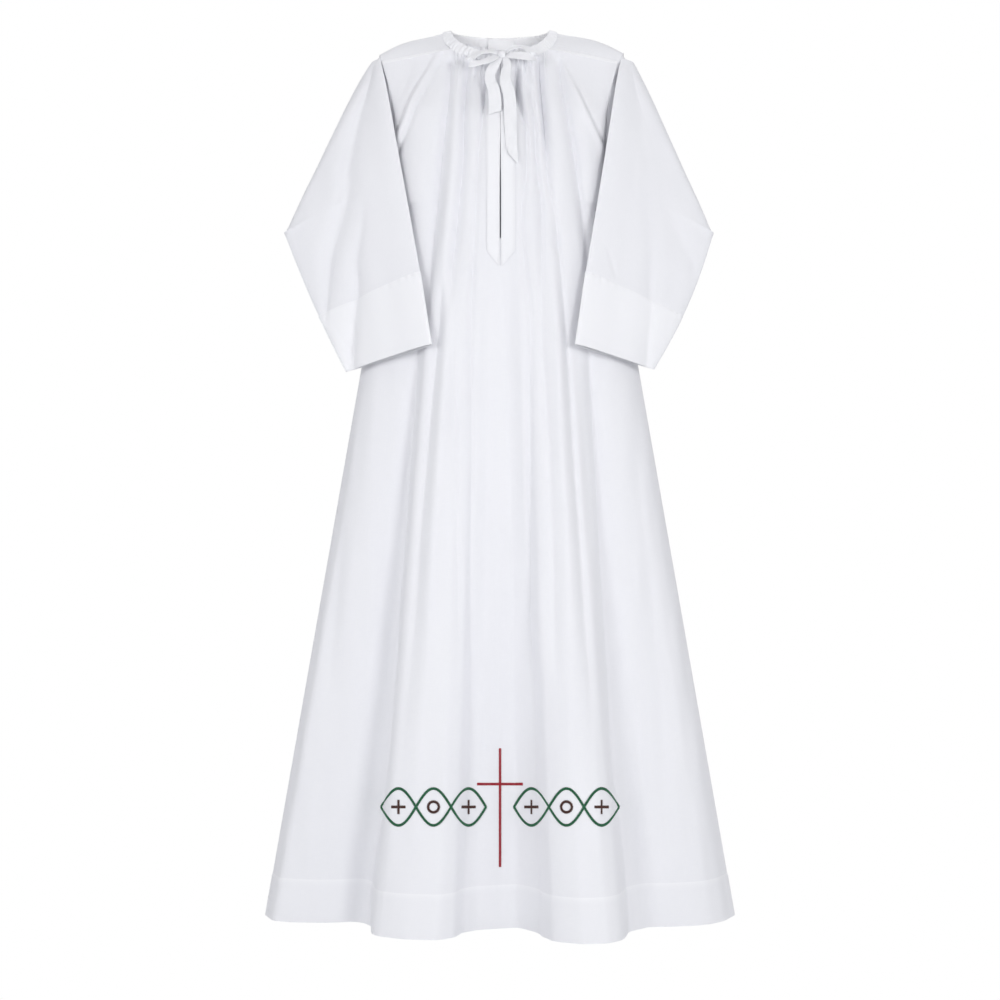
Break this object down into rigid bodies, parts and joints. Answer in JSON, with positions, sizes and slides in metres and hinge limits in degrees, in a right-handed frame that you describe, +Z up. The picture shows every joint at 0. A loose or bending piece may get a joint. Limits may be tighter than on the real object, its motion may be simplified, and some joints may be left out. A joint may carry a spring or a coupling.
{
  "type": "alb",
  "caption": "Long white alb with a gathered drawstring neck, front slit, yokes, wide forward-folded sleeves and a deep hem.",
  "frame": {"origin": "middle of the neck opening, level with its two sides, where the wearer's shoulders hold the garment", "axes": "+Z up along the garment's length, -Y the front, +X the wearer's left"},
  "size_m": [0.776, 0.3703, 1.4656],
  "materials": {
    "cloth": "white plain-weave polyester and cotton, pressed",
    "tape": "white flat cotton tape",
    "label": "white woven satin label, bare"
  },
  "bodies": {
    "root": {"front": "cloth", "back": "cloth", "hem_front": "cloth", "hem_back": "cloth", "yoke_left": "cloth", "yoke_right": "cloth", "sleeve_left": "cloth", "sleeve_right": "cloth", "cuff_left": "cloth", "cuff_right": "cloth", "neck_casing": "cloth", "placket_left": "cloth", "placket_right": "cloth", "bow_knot": "tape", "bow_loop_left": "tape", "bow_loop_right": "tape", "bow_tail_left": "tape", "bow_tail_right": "tape", "label": "label"}
  },
  "joints": []
}
